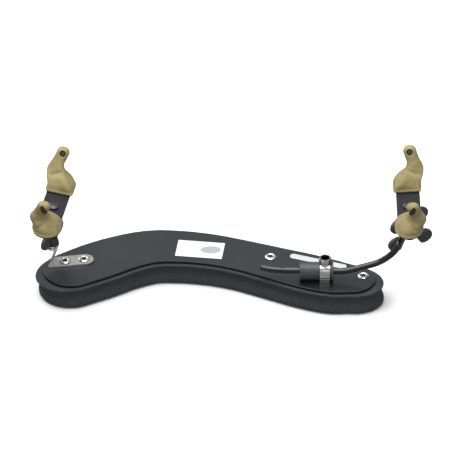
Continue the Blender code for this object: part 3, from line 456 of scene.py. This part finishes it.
def sticker_finish(name, lightness, patch=None):
    """Coated paper, with a plain oval patch in the middle if its centre and reach are given."""
    finish = Finish(name, 0.42, Coat_Weight=0.25, Coat_Roughness=0.2)
    cloud = finish.noise(5.0)
    worn = tuple(lightness * value for value in (0.74, 0.76, 0.77))
    clean = tuple(lightness * value for value in (0.84, 0.86, 0.87))
    tone = finish.ramp(cloud, [(0.3, worn), (0.7, clean)])
    if patch is not None:
        inside = finish.ramp(finish.distance_from(*patch),
                             [(0.72, (1.0, 1.0, 1.0)), (1.0, (0.0, 0.0, 0.0))])
        tone = finish.mixed(inside, tone, (0.33, 0.38, 0.42))
    finish.connect(tone, "Base Color")
    finish.relief(finish.noise(0.5, 3.0), 0.006)
    return finish.material


def make_finishes():
    strip_steel = black_steel_finish("strip_steel", (0.013, 0.016, 0.021), 0.45, 0.1)
    rod_steel = black_steel_finish("rod_steel", (0.007, 0.0075, 0.009), 0.24, 0.5)
    return {
        "plate_paint": paint_finish(),
        "foam": foam_finish(),
        "nickel": nickel_finish(),
        "chrome": chrome_finish("chrome"),
        "screw_chrome": chrome_finish("screw_chrome", SCREW_SOCKET),
        "strip_steel": strip_steel.material,
        "rod_steel": rod_steel.material,
        "threaded_steel": thread_finish(),
        "nut_plastic": plastic_finish("nut_plastic", (0.029, 0.031, 0.034), 0.38),
        "sleeve_plastic": plastic_finish("sleeve_plastic", (0.038, 0.042, 0.046), 0.42),
        "tan_rubber": rubber_finish(),
        # Dark brown painted shade that fills the inside of the boots' tip holes
        "hole_shade": plastic_finish("hole_shade", (0.022, 0.015, 0.009), 0.6),
        "name_sticker": sticker_finish("name_sticker", 1.0, STICKER_PATCH),
        "size_sticker": sticker_finish("size_sticker", 0.72),
    }


NODE_FINISHES = {
    "base_plate": "plate_paint", "anchor_plate": "nickel", "left_bracket": "nickel",
    "left_eyelet_inner": "nickel", "left_eyelet_outer": "nickel", "left_washer": "nickel",
    "right_eyelet_inner": "nickel", "right_eyelet_outer": "nickel", "clamp_band": "chrome",
    "clamp_screw": "screw_chrome", "clamp_sleeve": "sleeve_plastic", "support_rod": "rod_steel",
    "left_fork": "strip_steel", "right_fork": "strip_steel", "left_stud": "threaded_steel",
    "right_stud": "threaded_steel", "left_wing_nut": "nut_plastic",
    "right_lower_wing_nut": "nut_plastic", "right_upper_wing_nut": "nut_plastic",
    "name_label": "name_sticker", "size_label": "size_sticker",
}
# Moulded or bent pieces whose edges are softened, with the voxel size and smoothing passes
SOFT_EDGED = {"left_wing_nut": (0.34, 3), "right_lower_wing_nut": (0.34, 3),
              "right_upper_wing_nut": (0.34, 3), "support_rod": (0.42, 9)}


# ---------------------------------------------------------------- foam pad

def plate_outline(side_margin, fixed_end_margin, sliding_end_margin, arc_steps=40):
    """Outline of the curved plate, grown by a margin along its sides and more at its ends."""
    spine = catmull_rom(PLATE_SPINE, SPINE_STEPS)
    far_side = []
    near_side = []
    ends = []
    for index, (x, y, half_width) in enumerate(spine):
        before = spine[max(index - 1, 0)]
        after = spine[min(index + 1, len(spine) - 1)]
        heading = math.atan2(after[1] - before[1], after[0] - before[0])
        reach = half_width + side_margin
        across = Vector((-math.sin(heading), math.cos(heading)))
        far_side.append(Vector((x, y)) + reach * across)
        near_side.append(Vector((x, y)) - reach * across)
        if index in (0, len(spine) - 1):
            ends.append((Vector((x, y)), heading, reach))
    arcs = []
    for (centre, heading, reach), margin, direction in zip(
            ends, (fixed_end_margin, sliding_end_margin), (-1, 1)):
        along = Vector((math.cos(heading), math.sin(heading))) * direction
        across = Vector((-math.sin(heading), math.cos(heading))) * direction
        angles = [math.pi * step / arc_steps for step in range(1, arc_steps)]
        arcs.append([centre + across * (reach * math.cos(angle))
                     + along * ((reach + margin) * math.sin(angle)) for angle in angles])
    return far_side + arcs[1] + near_side[::-1] + arcs[0]


def foam_ring(height, inset, end_inset):
    outline = plate_outline(FOAM_SIDE_OVERHANG + inset, FOAM_END_OVERHANG + end_inset,
                            FOAM_END_OVERHANG)
    return [(point.x, point.y, height) for point in outline]


def make_foam_pad(finish):
    """Moulded pad with waisted sides, and the small unevenness of soft foam."""
    sides = catmull_rom(FOAM_SIDE, FOAM_SIDE_STEPS)
    bottom = [(0.0, sides[0][1] - inset, sides[0][2]) for inset in reversed(FOAM_CAP_INSETS)]
    top = [(FOAM_TOP, sides[-1][1] - inset, sides[-1][2]) for inset in FOAM_CAP_INSETS]
    bm = loft([foam_ring(*row) for row in (*bottom, *sides, *top)])
    bm.normal_update()
    for vert in bm.verts:
        if FOAM_STILL_BOTTOM < vert.co.z < FOAM_TOP - FOAM_STILL_TOP:
            place_in_noise = vert.co / FOAM_RIPPLE_SIZE
            ripple = (noise.noise(place_in_noise)
                      + 0.5 * noise.noise(place_in_noise * FOAM_RIPPLE_DETAIL))
            outward = Vector((vert.normal.x, vert.normal.y, 0.0))
            vert.co += outward * FOAM_RIPPLE * (ripple - FOAM_RIPPLE_OFFSET)
    pad = add_piece("moulded_foam_pad", bm, Matrix.Identity(4), finish)
    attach(pad, "base")
    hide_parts("foam_pad")


# ---------------------------------------------------------------- boots

def boot_ring(section, outward, end):
    height, across, half_width, along, inner, outer, slant, squareness = section
    inner_power = 2.0 / (2.0 + 3.0 * max(squareness, 0.0))
    ring = []
    for index in range(BOOT_RING_POINTS):
        angle = math.tau * index / BOOT_RING_POINTS
        cosine, sine = math.cos(angle), math.sin(angle)
        power = inner_power if sine < 0 else 1.0
        x = half_width * math.copysign(abs(cosine) ** power, cosine)
        reach = inner if sine < 0 else outer
        y = reach * math.copysign(abs(sine) ** power, sine)
        ring.append((outward * (across + x), end * (along + y + slant * x), height))
    return ring


def press_folds(bm, outward, end):
    """Presses the soft folds into the boot's sides."""
    for side, start, stop, most in BOOT_FOLDS:
        start, stop = Vector(start), Vector(stop)
        line = stop - start
        for vert in bm.verts:
            here = Vector((outward * vert.co.x, vert.co.z))
            share = min(max((here - start).dot(line) / line.length_squared, 0.0), 1.0)
            away = (here - (start + line * share)).length
            facing = max(0.0, side * end * vert.normal.y)
            depth = most * math.exp(-(away / FOLD_HALF_WIDTH) ** 2) * facing
            vert.co.y -= side * end * depth


def tip_hole_ring(hole, depth, growth, outward, end):
    """Ring round a hole at a depth below its mouth, grown by a share of its size."""
    (across, along, height), into, up, half_width, half_height, lean = hole
    ring = []
    for index in range(TIP_HOLE_POINTS):
        angle = math.tau * index / TIP_HOLE_POINTS
        x = growth * half_width * math.cos(angle)
        rise = growth * half_height * math.sin(angle)
        ring.append((outward * (across + x + lean * rise),
                     end * (along + into[0] * depth + up[0] * rise),
                     height + into[1] * depth + up[1] * rise))
    return ring


def make_boot(name, node, body, placement, outward, end, finishes):
    """Rubber boot with folds in its sides, holes in its tip and a dark brown plug of painted
    shade in each hole.
    """
    sections = catmull_rom(BOOT_SECTIONS, BOOT_SECTION_STEPS)
    bm = loft([boot_ring(section, outward, end) for section in sections])
    bmesh.ops.recalc_face_normals(bm, faces=bm.faces)
    bm.normal_update()
    press_folds(bm, outward, end)
    boot = add_piece(name, bm, placement, finishes["tan_rubber"])
    cutters = []
    for number, hole in enumerate(TIP_HOLES):
        rings = [tip_hole_ring(hole, depth, growth, outward, end)
                 for depth, growth in TIP_HOLE_PROFILE]
        cutter = add_piece(f"{name}_hole_{number}", loft(rings), placement, None)
        cut = boot.modifiers.new(f"tip_hole_{number}", "BOOLEAN")
        cut.operation = "DIFFERENCE"
        cut.solver = "EXACT"
        cut.object = cutter
        cutters.append(cutter)
    rounded = boot.modifiers.new("rounded", "REMESH")
    rounded.mode = "VOXEL"
    rounded.voxel_size = BOOT_VOXEL * MM
    relaxed = boot.modifiers.new("relaxed", "SMOOTH")
    relaxed.factor = SMOOTHING_FACTOR
    relaxed.iterations = BOOT_SMOOTHING_PASSES
    apply_modifiers(boot)
    for cutter in cutters:
        bpy.data.objects.remove(cutter, do_unlink=True)
    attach(boot, body)
    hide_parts(node)
    # Each hole gets a dark brown plug of painted shade
    for number, hole in enumerate(TIP_HOLES):
        rings = [tip_hole_ring(hole, depth, growth, outward, end)
                 for depth, growth in TIP_HOLE_SHADE_PROFILE]
        hole_shade = add_piece(f"{name}_core_{number}", loft(rings), placement, finishes["hole_shade"])
        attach(hole_shade, body)


def make_boots(finishes):
    left_fork = (place(LEFT_STUD_POINT, LEFT_FORK_TURN, LEFT_STUD_LEAN)
                 @ Matrix.Translation((0.0, 0.0, LEFT_FORK_LEVEL * MM))
                 @ Matrix.Rotation(LEFT_FORK_LEAN, 4, "Y")
                 @ Matrix.Rotation(LEFT_FORK_TILT, 4, "X"))
    right_fork = (place(RIGHT_STUD_POINT, 0.0, RIGHT_STUD_LEAN)
                  @ Matrix.Translation((0.0, 0.0, RIGHT_FORK_LEVEL * MM)))
    for side, fork, outward in (("left", left_fork, -1), ("right", right_fork, 1)):
        for which, end in (("front", -1), ("rear", 1)):
            seat = Matrix.Translation(Vector((0.0, end * BOOT_INNER_FACE, BOOT_SEAT)) * MM)
            make_boot(f"{side}_{which}_rubber", f"{side}_{which}_boot", f"{side}_fork",
                      fork @ seat, outward, end, finishes)


# ---------------------------------------------------------------- CAD nodes

def dress_nodes(finishes):
    """Gives the shown CAD nodes their finish, round shading and softened edges."""
    welded = smooth_by_angle_group(SHARP_ANGLE)
    for name, finish in NODE_FINISHES.items():
        node = nodes[name]
        for slot in node.material_slots:
            slot.material = finishes[finish]
        shading = node.modifiers.new("weld_and_smooth", "NODES")
        shading.node_group = welded
        if name in SOFT_EDGED:
            voxel, passes = SOFT_EDGED[name]
            remesh = node.modifiers.new("soft_edges", "REMESH")
            remesh.mode = "VOXEL"
            remesh.voxel_size = voxel * MM
            remesh.use_smooth_shade = True
            relaxed = node.modifiers.new("relaxed", "SMOOTH")
            relaxed.factor = SMOOTHING_FACTOR
            relaxed.iterations = passes


# ---------------------------------------------------------------- floor, lights, camera

def make_floor():
    bm = bmesh.new()
    bmesh.ops.create_grid(bm, x_segments=8, y_segments=8, size=FLOOR_REACH)
    bmesh.ops.translate(bm, vec=(0.0, 0.0, -FLOOR_DROP), verts=bm.verts)
    finish = Finish("pale_floor", 0.9, Specular_IOR_Level=0.1)
    cloud = finish.noise(160.0, 2.0)
    finish.connect(finish.ramp(cloud, [(0.3, (0.93, 0.93, 0.93)), (0.7, (0.95, 0.95, 0.95))]),
                   "Base Color")
    floor = add_piece("floor", bm, Matrix.Identity(4), finish.material)
    floor.visible_diffuse = False
    floor.visible_glossy = False


def add_softbox(name, location, size, power):
    """Square area light aimed at the middle of the rest."""
    light = bpy.data.lights.new(name, "AREA")
    light.shape = "SQUARE"
    light.size = size
    light.energy = power
    lamp = bpy.data.objects.new(name, light)
    lamp.location = location
    aim = Vector(AIM_POINT) * MM - lamp.location
    lamp.rotation_euler = aim.to_track_quat("-Z", "Y").to_euler()
    bpy.context.scene.collection.objects.link(lamp)


def make_studio():
    world = bpy.data.worlds.new("studio")
    world.use_nodes = True
    background = world.node_tree.nodes["Background"]
    background.inputs["Color"].default_value = (1.0, 1.0, 1.0, 1.0)
    background.inputs["Strength"].default_value = WORLD_STRENGTH
    bpy.context.scene.world = world
    for softbox in SOFTBOXES:
        add_softbox(*softbox)
    bpy.context.scene.view_settings.view_transform = "Standard"


def make_camera():
    data = bpy.data.cameras.new("camera")
    data.sensor_width = SENSOR_WIDTH
    data.lens = SENSOR_WIDTH * CAMERA_DISTANCE / VIEW_WIDTH
    data.clip_end = CLIP_END
    camera = bpy.data.objects.new("camera", data)
    back = Vector((0.0, -math.cos(CAMERA_ELEVATION), math.sin(CAMERA_ELEVATION)))
    camera.location = (Vector(AIM_POINT) + back * CAMERA_DISTANCE) * MM
    camera.rotation_euler = (math.pi / 2 - CAMERA_ELEVATION, 0.0, 0.0)
    bpy.context.scene.collection.objects.link(camera)
    bpy.context.scene.camera = camera


finishes = make_finishes()
dress_nodes(finishes)
make_foam_pad(finishes["foam"])
make_boots(finishes)
make_floor()
make_studio()
make_camera()
